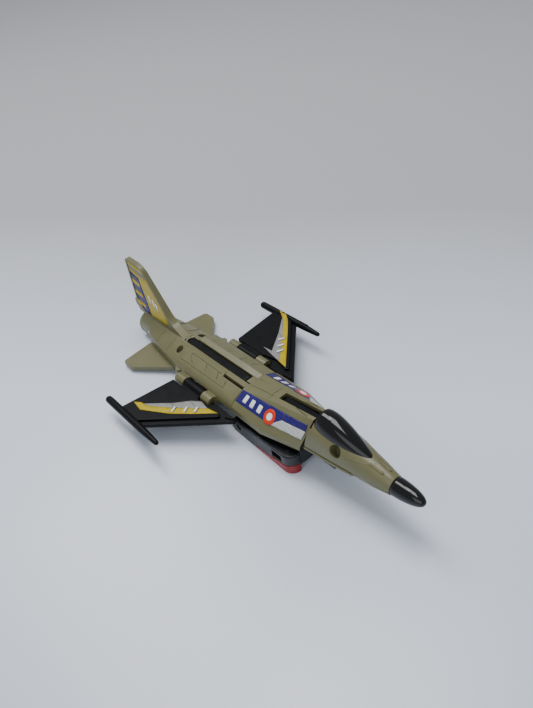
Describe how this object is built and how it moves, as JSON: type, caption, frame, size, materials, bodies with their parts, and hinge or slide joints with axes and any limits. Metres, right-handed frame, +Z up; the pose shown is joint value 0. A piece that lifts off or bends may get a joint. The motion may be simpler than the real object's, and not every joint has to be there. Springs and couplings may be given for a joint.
{
  "type": "folding toy airplane",
  "caption": "Pocket folding toy jet whose wings, nose, tail and two belly leg pods each fold on their own hinge.",
  "frame": {"origin": "middle of the bounding box, on the surface that the leg pods and the exhaust rim stand on", "axes": "+X forward to the nose, +Y to the left wing, +Z up from the surface; the body itself stands 3.45 degrees nose up"},
  "size_m": [0.158, 0.082, 0.0368],
  "materials": {
    "khaki": "satin",
    "black_matte": "satin",
    "black_gloss": "gloss",
    "red": "satin",
    "steel": "brushed"
  },
  "bodies": {
    "airframe": {"rear_shell_left": "khaki", "rear_shell_right": "khaki", "forebody_cover": "khaki", "belly_tray": "black_matte", "keel_housing": "black_matte", "belly_screw_rear_left": "steel", "belly_screw_rear_right": "steel", "belly_screw_front_left": "steel", "belly_screw_front_right": "steel", "keel_screw": "steel", "wing_pin_left": "steel", "wing_pin_right": "steel", "boom_pin": "steel", "nose_pin": "steel", "leg_pin": "steel"},
    "left_wing": {"left_wing_panel": "black_matte"},
    "right_wing": {"right_wing_panel": "black_matte"},
    "nose": {"nose_upper_shell": "khaki", "nose_lower_shell": "khaki", "nose_keel_plate": "black_matte", "nose_cone": "black_gloss", "canopy": "black_gloss", "nose_link": "black_matte", "nose_screw": "steel"},
    "tail": {"tail_upper_shell": "khaki", "tail_lower_shell": "khaki", "tail_boom": "black_matte", "tail_screw": "steel"},
    "left_leg": {"left_leg_housing": "black_matte", "left_leg_rim": "black_matte", "left_leg_sole": "red"},
    "right_leg": {"right_leg_housing": "black_matte", "right_leg_rim": "black_matte", "right_leg_sole": "red"}
  },
  "joints": [
    {"name": "left_wing_fold", "type": "hinge", "parent": "airframe", "child": "left_wing", "pos_m": [-0.01877, 0.0133, 0.0081], "axis": [0.9982, 0, 0.0602], "range_deg": [0, 90]},
    {"name": "right_wing_fold", "type": "hinge", "parent": "airframe", "child": "right_wing", "pos_m": [-0.01877, -0.0133, 0.0081], "axis": [-0.9982, 0, -0.0602], "range_deg": [0, 90]},
    {"name": "nose_fold", "type": "hinge", "parent": "airframe", "child": "nose", "pos_m": [0.01989, 0, 0.01824], "axis": [0, -1, 0], "range_deg": [0, 90]},
    {"name": "tail_fold", "type": "hinge", "parent": "airframe", "child": "tail", "pos_m": [-0.00379, 0, 0.01221], "axis": [0, 1, 0], "range_deg": [0, 75]},
    {"name": "left_leg_swing", "type": "hinge", "parent": "airframe", "child": "left_leg", "pos_m": [0.00475, 0.0098, 0.00351], "axis": [0, 1, 0], "range_deg": [0, 90]},
    {"name": "right_leg_swing", "type": "hinge", "parent": "airframe", "child": "right_leg", "pos_m": [0.00475, -0.0098, 0.00351], "axis": [0, 1, 0], "range_deg": [0, 90]}
  ]
}
